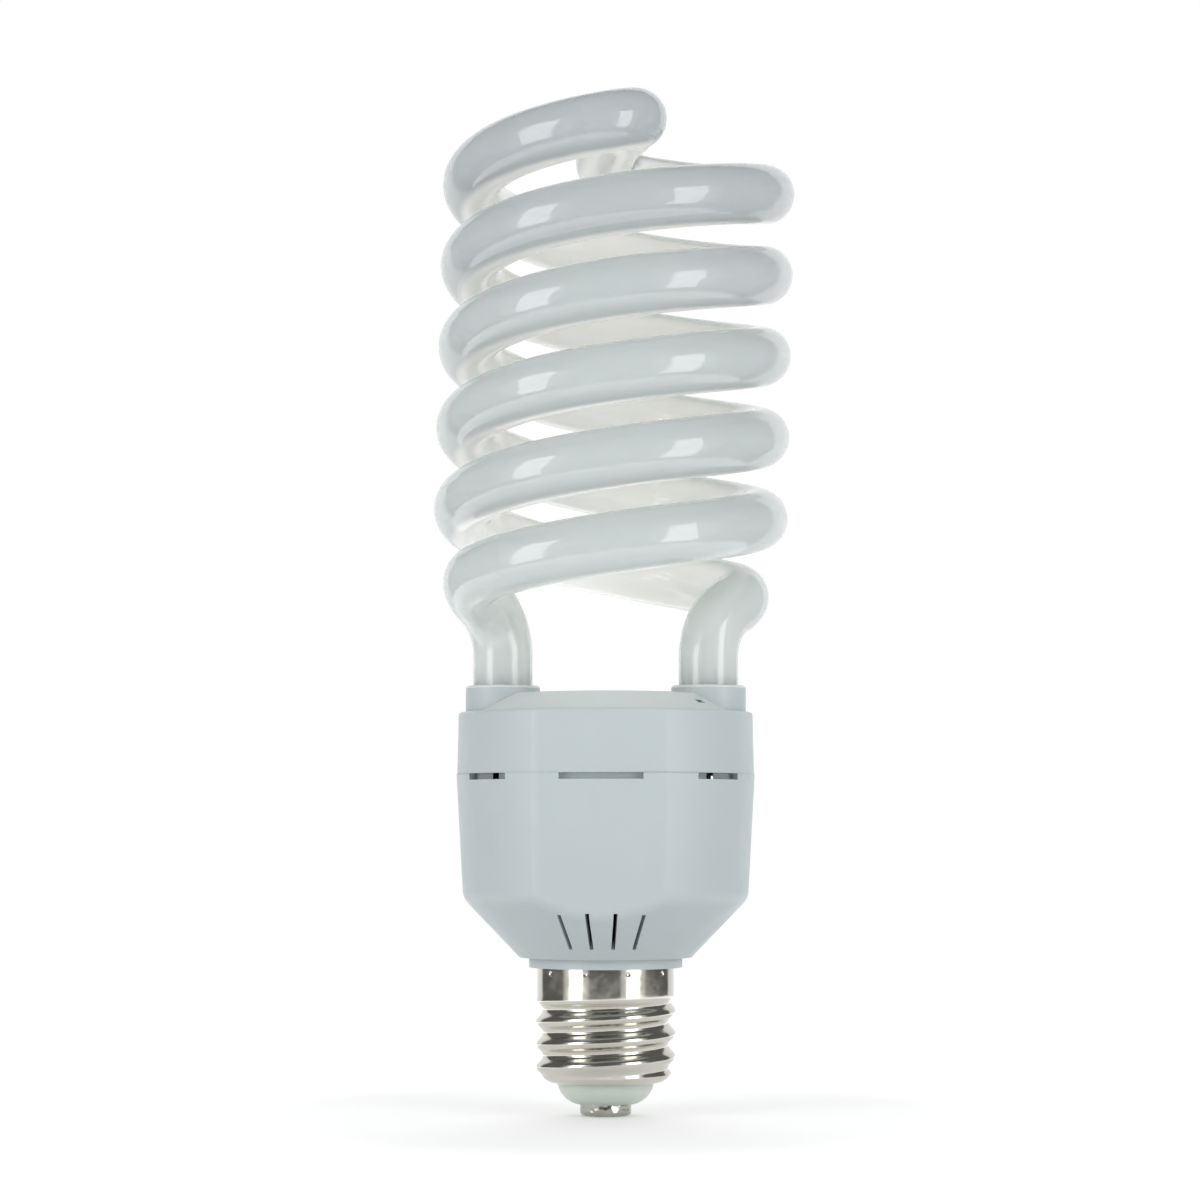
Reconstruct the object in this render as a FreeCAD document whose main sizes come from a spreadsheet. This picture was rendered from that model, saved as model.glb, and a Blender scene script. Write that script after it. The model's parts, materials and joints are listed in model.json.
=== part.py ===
"""Spiral energy saving lamp: a double-helix discharge tube on a ballast housing with a mogul screw cap.

The origin is the middle of the centre contact's lower face. +Z runs up the lamp and -Y is its front.
"""
import FreeCAD, Part
import math
import os
import Sketcher
from FreeCAD import Placement, Rotation, Vector

doc = FreeCAD.newDocument("spiral_lamp")

# Driving dimensions in millimetres, angles in degrees
SIZES = {
    # Centre contact
    "contact_dia": 14.5,
    "contact_height": 3.4,
    "contact_edge": 1.2,
    "stem_dia": 5.2,
    "stem_length": 3.6,
    "stem_clearance": 0.1,
    # Insulator
    "insulator_height": 5.8,
    "insulator_foot_dia": 18.0,
    "insulator_rim_dia": 27.4,
    "insulator_bulge": 7.5,
    "insulator_flange_dia": 29.0,
    "insulator_flange_height": 1.8,
    # Screw shell
    "shell_height": 32.4,
    "shell_wall": 0.5,
    "shell_hole_dia": 25.6,
    "shell_floor_dia": 29.4,
    "shell_curl_height": 1.6,
    "skirt_dia": 38.6,
    "skirt_height": 8.0,
    # Rolled thread and the punch marks above it
    "thread_major_dia": 39.4,
    "thread_minor_dia": 35.8,
    "thread_pitch": 6.35,
    "thread_run_in": 1.2,
    "thread_run_out": 3.0,
    "thread_start_angle": 138.0,
    "punch_count": 10,
    "punch_first_angle": 255.0,
    "punch_dia": 2.4,
    "punch_depth": 0.3,
    "punch_below_top": 1.4,
    # Lower housing
    "neck_clearance": 0.15,
    "neck_tube_length": 7.0,
    "neck_wall": 2.0,
    "collar_dia": 43.4,
    "collar_height": 2.8,
    "cone_small_dia": 48.8,
    "cone_height": 16.6,
    "cup_height": 35.0,
    "seam_dia": 84.7,
    "flat_depth": 3.95,
    "edge_round": 6.0,
    "wall_draft": 3.2,
    "wall": 2.0,
    # Vents, notches and ribs of the lower housing
    "vent_angle_step": 12.4,
    "vent_length": 13.6,
    "vent_width": 1.1,
    "vent_mid_height": 7.8,
    "vents_in_group": 4,
    "notch_height": 1.75,
    "front_notch_length": 23.2,
    "side_notch_length": 17.0,
    "side_notch_angle": 50.5,
    "rib_count": 4,
    "rib_first_angle": 45.0,
    "rib_width": 2.4,
    "rib_depth": 4.0,
    # Top cover and its leg sockets
    "seam_step": 0.2,
    "cover_height": 17.5,
    "cover_draft": 1.2,
    "cover_edge": 0.8,
    "dome_ledge": 1.13,
    "dome_top_dia": 54.0,
    "dome_height": 5.3,
    "dome_slot_length": 3.4,
    "dome_slot_height": 0.9,
    "dome_slot_rise": 2.2,
    "dome_slot_angle": 58.0,
    "lip_clearance": 0.15,
    "lip_wall": 1.6,
    "socket_dia": 21.2,
    "socket_spacing": 58.6,
    "socket_rise": 7.7,
    "socket_depth": 9.5,
    "socket_edge": 0.8,
    "cement_gap": 0.45,
    "cement_height": 6.0,
    # Glass tube
    "tube_dia": 17.0,
    "spiral_radius": 42.1,
    "spiral_pitch": 46.8,
    "spiral_base": 50.5,
    "spiral_lean": 1.42,
    "spiral_offset": 0.25,
    "leg_rise": 8.0,
    "leg_join_angle": 34.0,
    "spiral_end_angle": 980.0,
    "crossing_rise": 6.6,
    "crossing_heading": 104.0,
    # Circuit board, wrap pins and electrode leads
    "board_thickness": 1.6,
    "board_drop": 4.0,
    "board_clearance": 0.5,
    "pin_side": 1.2,
    "pin_height": 6.0,
    "tube_lead_dia": 0.8,
    "tube_lead_spread": 6.0,
    # Leads to the contact and the shell
    "live_wire_dia": 1.8,
    "neutral_wire_dia": 1.4,
    "neutral_bend": 5.0,
    "neutral_contact_length": 5.0,
    "neutral_reach": 12.0,
    # Smoothing capacitor
    "bus_capacitor_dia": 18.0,
    "bus_capacitor_length": 33.0,
    "bus_capacitor_groove": 0.6,
    "bus_capacitor_crimp": 1.8,
    # Lamp choke
    "choke_width": 25.0,
    "choke_depth": 13.0,
    "choke_height": 20.0,
    "choke_leg": 3.6,
    "bobbin_wall": 1.0,
    "bobbin_reach": 4.0,
    "bobbin_foot": 2.5,
    "bobbin_stand": 2.0,
    "choke_clearance": 0.1,
    "coil_build": 2.4,
    # Drive transformer
    "toroid_ring_dia": 13.0,
    "toroid_section_dia": 4.0,
    "toroid_wire_dia": 0.7,
    "toroid_turns": 9,
    "toroid_gap": 0.1,
    # Transistors
    "transistor_width": 10.0,
    "transistor_body_height": 9.0,
    "transistor_thickness": 4.4,
    "transistor_tab_height": 6.4,
    "transistor_tab_thickness": 1.3,
    "transistor_tab_hole": 3.6,
    "transistor_leg_height": 4.0,
    "transistor_leg_width": 0.9,
    "transistor_leg_pitch": 2.54,
    # Film capacitors
    "film_length": 18.0,
    "film_width": 8.0,
    "film_height": 14.0,
    "small_film_length": 13.0,
    "small_film_width": 5.5,
    "small_film_height": 11.0,
    "film_edge": 0.8,
    # Diodes and fuse
    "diode_dia": 2.8,
    "diode_length": 5.2,
    "diode_pitch": 4.2,
    "axial_lead_dia": 0.8,
    "axial_lead_span": 10.0,
    "axial_standoff": 2.4,
    "fuse_dia": 3.4,
    "fuse_length": 7.0,
    # Filter choke
    "drum_dia": 9.0,
    "drum_height": 12.0,
    "drum_flange": 1.8,
    "drum_waist_dia": 7.0,
    # Layout of the components under the board
    "can_x": 13.0,
    "can_y": 16.0,
    "choke_x": 6.0,
    "choke_y": -18.0,
    "toroid_x": -5.0,
    "toroid_y": 11.0,
    "transistor_1_x": -22.0,
    "transistor_1_y": 18.0,
    "transistor_2_x": -8.0,
    "transistor_2_y": 26.0,
    "mains_film_x": -21.0,
    "mains_film_y": -17.0,
    "resonant_film_x": -24.0,
    "resonant_film_y": -5.0,
    "coupling_film_x": -24.0,
    "coupling_film_y": 5.0,
    "diode_x": 28.0,
    "diode_y": -10.0,
    "fuse_x": 28.0,
    "fuse_y": 8.0,
    "drum_x": 15.0,
    "drum_y": 0.5,
}

sheet = doc.addObject("Spreadsheet::Sheet", "sizes")
for row, (alias, amount) in enumerate(SIZES.items(), start=1):
    sheet.set(f"A{row}", alias)
    sheet.set(f"B{row}", str(amount))
    sheet.setAlias(f"B{row}", alias)
doc.recompute()


def number(expression):
    """The present value of an expression on the sizes."""
    answer = sheet.evalExpression(expression)
    return float(getattr(answer, "Value", answer))


def half(alias):
    """Expression for half of a size, such as a radius."""
    return f"sizes.{alias} / 2"


# Heights that follow from the stacked sizes
CAP_FOOT = "sizes.contact_height"
SHELL_FOOT = "(sizes.contact_height + sizes.insulator_height)"
SHELL_TOP = f"({SHELL_FOOT} + sizes.shell_height)"
CONE_FOOT = f"({SHELL_TOP} + sizes.collar_height)"
CUP_FOOT = f"({CONE_FOOT} + sizes.cone_height)"
SEAM = f"({CUP_FOOT} + sizes.cup_height)"
RIM = f"({SEAM} + sizes.cover_height)"
DOME_TOP = f"({RIM} + sizes.dome_height)"
SOCKET_TOP = f"({RIM} + sizes.socket_rise)"
SOCKET_FOOT = f"({RIM} - sizes.socket_depth)"
BOARD_FOOT = f"({SEAM} - sizes.board_drop)"
BOARD_TOP = f"({BOARD_FOOT} + sizes.board_thickness)"
NECK_FOOT = f"({SHELL_TOP} - sizes.neck_tube_length)"

# Radii that follow from the drafted walls and fits
SKIRT_BORE = "(sizes.skirt_dia / 2 - sizes.shell_wall)"
THREAD_BORE = "(sizes.thread_minor_dia / 2 - sizes.shell_wall)"
NECK_OUT = f"({SKIRT_BORE} - sizes.neck_clearance)"
NECK_BORE = f"({NECK_OUT} - sizes.neck_wall)"
CUP_FOOT_RADIUS = "(sizes.seam_dia / 2 - sizes.cup_height * tan(sizes.wall_draft))"
SOCKET_BORE = "(sizes.tube_dia / 2 + sizes.cement_gap)"
HALF_FLATS = "(sizes.seam_dia / 2 - sizes.flat_depth)"
COVER_FOOT_RADIUS = "(sizes.seam_dia / 2 - sizes.seam_step)"
COVER_RIM_RADIUS = f"({COVER_FOOT_RADIUS} - sizes.cover_height * tan(sizes.cover_draft))"
COVER_FLATS = f"({HALF_FLATS} - sizes.seam_step)"
DOME_FOOT_RADIUS = f"({COVER_FLATS} - sizes.cover_height * tan(sizes.cover_draft) - sizes.dome_ledge)"
BOARD_INSET = "(sizes.wall + sizes.board_drop * tan(sizes.wall_draft))"
LIP_OUT = f"(sizes.seam_dia / 2 - {BOARD_INSET} - sizes.lip_clearance)"
LIP_FLATS = f"({HALF_FLATS} - {BOARD_INSET} - sizes.lip_clearance)"

# Depth of a cutter that passes right through a wall
THROUGH_WALL = "(sizes.wall * 4)"

# Angles about Z of the two flats, in degrees
FRONT = -90.0
BACK = 90.0

# Control rows and columns of the screw shell's outside
FLOOR_ROWS = 3
BEND_ROWS = 6
ROWS_PER_PITCH = 10
SKIRT_ROWS = 3
COLUMNS = 16

# Largest turn of the tube's helix between two stations, in degrees
HELIX_STEP = 45.0

# Tallest that a level edge may measure
FLAT_ENOUGH = 1e-3

# Diodes in the bridge rectifier
BRIDGE = 4

PIECES = []


def node(piece, label):
    """Names a finished sub-part and puts it on the list that is written out."""
    piece.Label = label
    PIECES.append(piece)
    return piece


def bind(piece, **expressions):
    """Ties properties of an object to expressions on the sizes."""
    for name, expression in expressions.items():
        piece.setExpression(name, expression)
    return piece


def place(piece, x="0", y="0", z="0"):
    """Ties an object's position to expressions on the sizes."""
    for axis, expression in (("x", x), ("y", y), ("z", z)):
        piece.setExpression(f"Placement.Base.{axis}", expression)
    return piece


def origin_plane(body, role):
    """One of the base planes of a body."""
    for feature in body.Origin.OriginFeatures:
        if feature.Role == role:
            return feature
    raise ValueError(role)


def arc_between(start, end, radius):
    """A counter-clockwise arc of a given radius from one sketch point to the next."""
    chord = end - start
    left = Vector(-chord.y, chord.x, 0).normalize()
    centre = start + chord * 0.5 + left * math.sqrt(radius ** 2 - (chord.Length / 2) ** 2)
    first = math.atan2(start.y - centre.y, start.x - centre.x)
    last = math.atan2(end.y - centre.y, end.x - centre.x)
    return Part.ArcOfCircle(Part.Circle(centre, Vector(0, 0, 1), radius), first, last)


def hold_point(sketch, line, across, up):
    """Fixes the start of a sketch line at two expressions on the sizes."""
    vertical_axis, horizontal_axis = -2, -1
    holds = [("DistanceX", vertical_axis, across), ("DistanceY", horizontal_axis, up)]
    for kind, axis, expression in holds:
        amount = number(expression)
        if abs(amount) < 1e-9:
            sketch.addConstraint(Sketcher.Constraint("PointOnObject", line, 1, axis))
        else:
            held = sketch.addConstraint(Sketcher.Constraint(kind, -1, 1, line, 1, amount))
            sketch.setExpression(f"Constraints[{held}]", expression)


def outline_sketch(body, plane, outline):
    """A closed sketch through (across, up) expressions. A third entry rounds the run to the next point."""
    sketch = body.newObject("Sketcher::SketchObject", body.Name + "_outline")
    sketch.AttachmentSupport = (origin_plane(body, plane), [""])
    sketch.MapMode = "FlatFace"
    points = [Vector(number(entry[0]), number(entry[1]), 0) for entry in outline]
    for index, entry in enumerate(outline):
        end = points[(index + 1) % len(points)]
        if len(entry) == 3:
            sketch.addGeometry(arc_between(points[index], end, number(entry[2])), False)
        else:
            sketch.addGeometry(Part.LineSegment(points[index], end), False)
    for index, entry in enumerate(outline):
        before = (index - 1) % len(outline)
        sketch.addConstraint(Sketcher.Constraint("Coincident", before, 2, index, 1))
        hold_point(sketch, index, entry[0], entry[1])
        if len(entry) == 3:
            held = sketch.addConstraint(Sketcher.Constraint("Radius", index, number(entry[2])))
            sketch.setExpression(f"Constraints[{held}]", entry[2])
    return sketch


def turned(name, outline):
    """A body of revolution about Z from (radius, height) expressions, listed counter-clockwise."""
    body = doc.addObject("PartDesign::Body", name)
    sketch = outline_sketch(body, "XZ_Plane", outline)
    turn = body.newObject("PartDesign::Revolution", name + "_turn")
    turn.Profile = sketch
    turn.ReferenceAxis = (sketch, ["V_Axis"])
    turn.Angle = 360
    doc.recompute()
    return body


def box(name, length, width, height):
    """A block whose three sides are expressions on the sizes."""
    return bind(doc.addObject("Part::Box", name), Length=length, Width=width, Height=height)


def cylinder(name, radius, height):
    """A cylinder along Z."""
    return bind(doc.addObject("Part::Cylinder", name), Radius=radius, Height=height)


def fused(name, pieces):
    joined = doc.addObject("Part::MultiFuse", name)
    joined.Shapes = pieces
    doc.recompute()
    return joined


def cut(name, base, *tools):
    """A base with one or several tools taken away."""
    for index, tool in enumerate(tools):
        taken = doc.addObject("Part::Cut", f"{name}_{index}")
        taken.Base = base
        taken.Tool = tool
        base = taken
    doc.recompute()
    return base


def common(name, first, second):
    shared = doc.addObject("Part::Common", name)
    shared.Base = first
    shared.Tool = second
    doc.recompute()
    return shared


def between_flats(name, round_body, half_low, half_high, low, high):
    """The part of a round body that lies between a drafted flat at the front and one at the back."""
    reach = "sizes.seam_dia"
    wedge = doc.addObject("Part::Wedge", name + "_flats")
    bind(wedge, Xmin=f"-{reach}", Xmax=reach, X2min=f"-{reach}", X2max=reach, Ymin=low, Ymax=high)
    bind(wedge, Zmin=f"-{half_low}", Zmax=half_low, Z2min=f"-{half_high}", Z2max=half_high)
    wedge.Placement = Placement(Vector(), Rotation(Vector(1, 0, 0), 90))
    return common(name, round_body, wedge)


def rounded(name, base, edges, radius):
    """A base with some of its edges, given by their numbers from 1, rounded to one radius."""
    soft = doc.addObject("Part::Fillet", name)
    soft.Base = base
    soft.Edges = [(index, number(radius), number(radius)) for index in edges]
    doc.recompute()
    return soft


def flat_sides(shape):
    """The numbers, from 1, of the edges at the left and right of the flats."""
    found = []
    for index, edge in enumerate(shape.Edges, start=1):
        span = edge.BoundBox
        if span.ZLength > span.XLength and span.ZLength > span.YLength:
            found.append(index)
    return found


def radial_block(name, angle, reach, depth, width, height, foot, tilt=0.0):
    """A block centred on a radius at an angle about Z, with its middle at a given reach and foot height."""
    block = box(name, depth, width, height)
    sides = Vector(number(depth), number(width), number(height))
    to_middle = Placement(sides * -0.5, Rotation())
    lean = Placement(Vector(number(reach), 0, number(foot) + sides.z / 2), Rotation(Vector(0, 1, 0), tilt))
    about_axis = Placement(Vector(), Rotation(Vector(0, 0, 1), angle))
    block.Placement = about_axis * lean * to_middle
    return block


def wedge_half(at_seam, draft, drop):
    """Half the distance across the flats at a drop below (or, with a minus sign, above) the seam."""
    return f"({at_seam} - ({drop}) * tan(sizes.{draft}))"


def make_contact():
    """Turned eyelet: a disc with a rounded lower edge and a stem that the live wire is soldered to."""
    outline = [
        ("0", "0"),
        ("sizes.contact_dia / 2 - sizes.contact_edge", "0", "sizes.contact_edge"),
        (half("contact_dia"), "sizes.contact_edge"),
        (half("contact_dia"), CAP_FOOT),
        (half("stem_dia"), CAP_FOOT),
        (half("stem_dia"), f"{CAP_FOOT} + sizes.stem_length"),
        ("0", f"{CAP_FOOT} + sizes.stem_length"),
    ]
    return node(turned("contact_body", outline), "centre_contact")


def make_insulator():
    """Moulded dish between contact and shell, keyed through the hole in the shell's floor."""
    hole = "(sizes.stem_dia / 2 + sizes.stem_clearance)"
    floor_top = f"({SHELL_FOOT} + sizes.shell_wall)"
    outline = [
        (hole, CAP_FOOT),
        (half("insulator_foot_dia"), CAP_FOOT, "sizes.insulator_bulge"),
        (half("insulator_rim_dia"), SHELL_FOOT),
        (half("shell_hole_dia"), SHELL_FOOT),
        (half("shell_hole_dia"), floor_top),
        (half("insulator_flange_dia"), floor_top),
        (half("insulator_flange_dia"), f"{floor_top} + sizes.insulator_flange_height"),
        (hole, f"{floor_top} + sizes.insulator_flange_height"),
    ]
    return node(turned("insulator_body", outline), "base_insulator")


def thread_wave(phase):
    """Rolled knuckle thread: equal crest and root arcs. Returns -1 at a root and +1 at a crest."""
    pitch = number("sizes.thread_pitch")
    rise = number("(sizes.thread_major_dia - sizes.thread_minor_dia) / 2")
    run = pitch / 4
    swing = 2 * math.atan2(rise / 2, run)
    arc = run / math.sin(swing)
    away = abs((phase + 0.5) % 1.0 - 0.5) * pitch
    if away <= run:
        drop = arc - math.sqrt(arc ** 2 - away ** 2)
    else:
        drop = rise - arc + math.sqrt(arc ** 2 - (2 * run - away) ** 2)
    return 1 - 2 * drop / rise


def ease(share):
    """Smooth step from 0 to 1."""
    share = min(max(share, 0.0), 1.0)
    return share * share * (3 - 2 * share)


def inside_share(steps):
    """How far in a smooth cubic runs from the control points of a wave with that many points."""
    return (2 + math.cos(2 * math.pi / steps)) / 3


def shell_stations():
    """(radius, height, thread depth) up the outside of the shell: floor, bend, thread and skirt."""
    foot = number(SHELL_FOOT)
    top = number(SHELL_TOP)
    low = foot + number("sizes.shell_curl_height")
    high = top - number("sizes.skirt_height")
    hole = number(half("shell_hole_dia"))
    floor = number(half("shell_floor_dia"))
    low_radius = number(half("thread_minor_dia"))
    skirt = number(half("skirt_dia"))
    pitch = number("sizes.thread_pitch")
    run_in = number("sizes.thread_run_in")
    run_out = number("sizes.thread_run_out")
    middle = number("(sizes.thread_major_dia + sizes.thread_minor_dia) / 4")
    depth = number("(sizes.thread_major_dia - sizes.thread_minor_dia) / 4") / inside_share(ROWS_PER_PITCH)
    across = low_radius - floor
    bend = (across ** 2 + (low - foot) ** 2) / (2 * (low - foot))
    sweep = 2 * math.atan2(low - foot, across)
    lip = hole + number("sizes.shell_wall")

    stations = [(lip + (floor - lip) * step / FLOOR_ROWS, foot, 0) for step in range(FLOOR_ROWS)]
    for step in range(BEND_ROWS):
        turn = sweep * step / BEND_ROWS
        stations.append((floor + bend * math.sin(turn), foot + bend * (1 - math.cos(turn)), 0))
    rows = math.ceil((high - low) / pitch * ROWS_PER_PITCH)
    for row in range(rows):
        height = low + (high - low) * row / rows
        from_low = ease((height - low) / run_in)
        from_high = ease((high - height) / run_out)
        base = middle + (low_radius - middle) * (1 - from_low) + (skirt - middle) * (1 - from_high)
        stations.append((base, height, depth * from_low * from_high))
    stations += [(skirt, high + (top - high) * step / SKIRT_ROWS, 0) for step in range(SKIRT_ROWS + 1)]
    return stations


def shell_skin():
    """The outside of the shell as one smooth round face."""
    pitch = number("sizes.thread_pitch")
    start = number("sizes.thread_start_angle") / 360
    rings = []
    for radius, height, depth in shell_stations():
        ring = []
        for column in range(COLUMNS):
            turn = (column - 1) / COLUMNS
            reach = (radius + depth * thread_wave(height / pitch - turn + start)) / inside_share(COLUMNS)
            angle = 2 * math.pi * turn
            ring.append(Vector(reach * math.cos(angle), reach * math.sin(angle), height))
        rings.append(ring)
    spans = len(rings) - 3
    surface = Part.BSplineSurface()
    surface.buildFromPolesMultsKnots(
        rings, [4] + [1] * (spans - 1) + [4], [1] * (COLUMNS + 1), list(range(spans + 1)),
        list(range(COLUMNS + 1)), False, True, 3, 3)
    return surface.toShape()


def edge_at(shape, height):
    """The round edge of a shape that lies level at a height."""
    for edge in shape.Edges:
        span = edge.BoundBox
        if max(abs(span.ZMin - height), abs(span.ZMax - height)) < FLAT_ENOUGH:
            return edge
    raise ValueError(height)


def make_shell():
    """Screw shell: pressed sheet with a flat floor, a rolled thread and a plain skirt with punch marks."""
    foot = number(SHELL_FOOT)
    top = number(SHELL_TOP)
    wall = number("sizes.shell_wall")
    high = top - number("sizes.skirt_height")
    bore = number(THREAD_BORE)
    skirt_bore = number(SKIRT_BORE)
    hole = number(half("shell_hole_dia"))
    floor = number(half("shell_floor_dia"))
    lining = [
        Vector(hole, 0, foot),
        Vector(hole, 0, foot + wall),
        Vector(floor, 0, foot + wall),
        Vector(bore, 0, foot + wall + (bore - floor)),
        Vector(bore, 0, high - (skirt_bore - bore)),
        Vector(skirt_bore, 0, high),
        Vector(skirt_bore, 0, top),
    ]
    inside = Part.makePolygon(lining).revolve(Vector(), Vector(0, 0, 1), 360)
    outside = shell_skin()
    rims = []
    for height in (foot, top):
        loops = [Part.Wire([edge_at(face, height)]) for face in (outside, inside)]
        rims.append(Part.Face(loops))
    blank = doc.addObject("Part::Feature", "shell_blank")
    skin = Part.Compound([outside] + inside.Faces + rims)
    skin.sewShape()
    blank.Shape = Part.makeSolid(skin.Shells[0])

    skirt = number(half("skirt_dia"))
    ball = number(half("punch_dia"))
    marks = []
    for index in range(int(number("sizes.punch_count"))):
        mark = bind(doc.addObject("Part::Sphere", f"punch_{index}"), Radius=half("punch_dia"))
        angle = math.radians(number("sizes.punch_first_angle") + 360 * index / number("sizes.punch_count"))
        reach = skirt + ball - number("sizes.punch_depth")
        height = top - number("sizes.punch_below_top")
        mark.Placement.Base = Vector(reach * math.cos(angle), reach * math.sin(angle), height)
        marks.append(mark)
    return node(cut("shell", blank, fused("punches", marks)), "screw_shell")


def housing_corners(shape):
    """The numbers, from 1, of the edges where the cone, the cup and the flats meet below the seam."""
    found = []
    for index, edge in enumerate(shape.Edges, start=1):
        span = edge.BoundBox
        above_cone_foot = span.ZMin > number(CONE_FOOT) + number("sizes.wall")
        meets_seam_plane = span.ZMin > number(SEAM) - number("sizes.wall")
        if above_cone_foot and not meets_seam_plane:
            found.append(index)
    return found


def side_notches(name, height):
    """Cutters for the notches on both sides of each flat, downwards from the seam."""
    cutters = []
    for side in (FRONT, BACK):
        for turn in (-1, 1):
            angle = side + turn * number("sizes.side_notch_angle")
            cutters.append(radial_block(
                f"{name}_{len(cutters)}", angle, half("seam_dia"), THROUGH_WALL, "sizes.side_notch_length",
                height, f"{SEAM} - {height}"))
    return cutters


def make_housing():
    """Lower ballast housing: neck in the shell, vented cone, flatted cup, notched rim and board ribs."""
    outside = turned("housing_outside", [
        ("0", NECK_FOOT),
        (NECK_OUT, NECK_FOOT),
        (NECK_OUT, SHELL_TOP),
        (half("collar_dia"), SHELL_TOP),
        (half("collar_dia"), CONE_FOOT),
        (half("cone_small_dia"), CONE_FOOT),
        (CUP_FOOT_RADIUS, CUP_FOOT),
        (half("seam_dia"), SEAM),
        ("0", SEAM),
    ])
    inside = turned("housing_inside", [
        ("0", NECK_FOOT),
        (NECK_BORE, NECK_FOOT),
        (NECK_BORE, SHELL_TOP),
        (f"{CUP_FOOT_RADIUS} - sizes.wall", f"{CUP_FOOT} + sizes.wall"),
        ("sizes.seam_dia / 2 - sizes.wall", SEAM),
        ("0", SEAM),
    ])
    drop = f"{SEAM} - {NECK_FOOT}"
    out_low = wedge_half(HALF_FLATS, "wall_draft", drop)
    in_low = f"({out_low} - sizes.wall)"
    in_high = f"({HALF_FLATS} - sizes.wall)"
    sharp = between_flats("housing_sharp", outside, out_low, HALF_FLATS, NECK_FOOT, SEAM)
    form = rounded("housing_form", sharp, housing_corners(sharp.Shape), "sizes.edge_round")
    hollow = between_flats("housing_hollow", inside, in_low, in_high, NECK_FOOT, SEAM)
    walls = cut("housing_walls", form, hollow)

    openings = []
    cone_run = number(CUP_FOOT_RADIUS) - number(half("cone_small_dia"))
    tilt = math.degrees(math.atan2(cone_run, number("sizes.cone_height")))
    middle = number("sizes.vent_mid_height")
    reach = number(half("cone_small_dia")) + cone_run * middle / number("sizes.cone_height")
    vents = int(number("sizes.vents_in_group"))
    for side in (FRONT, BACK):
        for index in range(vents):
            angle = side + (index - (vents - 1) / 2) * number("sizes.vent_angle_step")
            openings.append(radial_block(
                f"vent_{len(openings)}", angle, str(reach), THROUGH_WALL, "sizes.vent_width",
                "sizes.vent_length", f"{CONE_FOOT} + {middle} - sizes.vent_length / 2", tilt))
        rim_foot = f"{SEAM} - sizes.notch_height"
        openings.append(radial_block(
            f"notch_{len(openings)}", side, HALF_FLATS, THROUGH_WALL, "sizes.front_notch_length",
            "sizes.notch_height", rim_foot))
    openings += side_notches("rim_notch", "sizes.notch_height")
    open_walls = cut("housing_openings", walls, fused("housing_cutters", openings))

    ribs = []
    rib_count = int(number("sizes.rib_count"))
    for index in range(rib_count):
        angle = number("sizes.rib_first_angle") + 360 * index / rib_count
        rib_reach = "sizes.seam_dia / 2 - sizes.rib_depth / 2"
        ribs.append(radial_block(
            f"rib_{index}", angle, rib_reach, f"sizes.rib_depth + {THROUGH_WALL}", "sizes.rib_width",
            f"{BOARD_FOOT} - {CUP_FOOT}", CUP_FOOT))
    trimmed = common("housing_ribs", fused("ribs", ribs), form)
    return node(fused("housing", [open_walls, trimmed]), "lower_housing")


def make_socket(name, side):
    """A round socket for one leg of the tube."""
    outline = [
        ("0", SOCKET_FOOT),
        (half("socket_dia"), SOCKET_FOOT),
        (half("socket_dia"), f"{SOCKET_TOP} - sizes.socket_edge", "sizes.socket_edge"),
        ("sizes.socket_dia / 2 - sizes.socket_edge", SOCKET_TOP),
        ("0", SOCKET_TOP),
    ]
    return place(turned(name, outline), x=f"{side} * sizes.socket_spacing / 2")


def flatted_disc(name, radius, half_flats, low, high):
    """A round plate with straight flats at the front and back."""
    disc = place(cylinder(name + "_disc", radius, f"{high} - {low}"), z=low)
    return between_flats(name, disc, half_flats, half_flats, low, high)


def rim_edges(shape):
    """The numbers, from 1, of the edges round the cover's top, outside the dome's foot."""
    found = []
    for index, edge in enumerate(shape.Edges, start=1):
        end = edge.Vertexes[0].Point
        level = edge.BoundBox.ZLength < FLAT_ENOUGH and abs(end.z - number(RIM)) < FLAT_ENOUGH
        if level and math.hypot(end.x, end.y) > number(HALF_FLATS):
            found.append(index)
    return found


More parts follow.
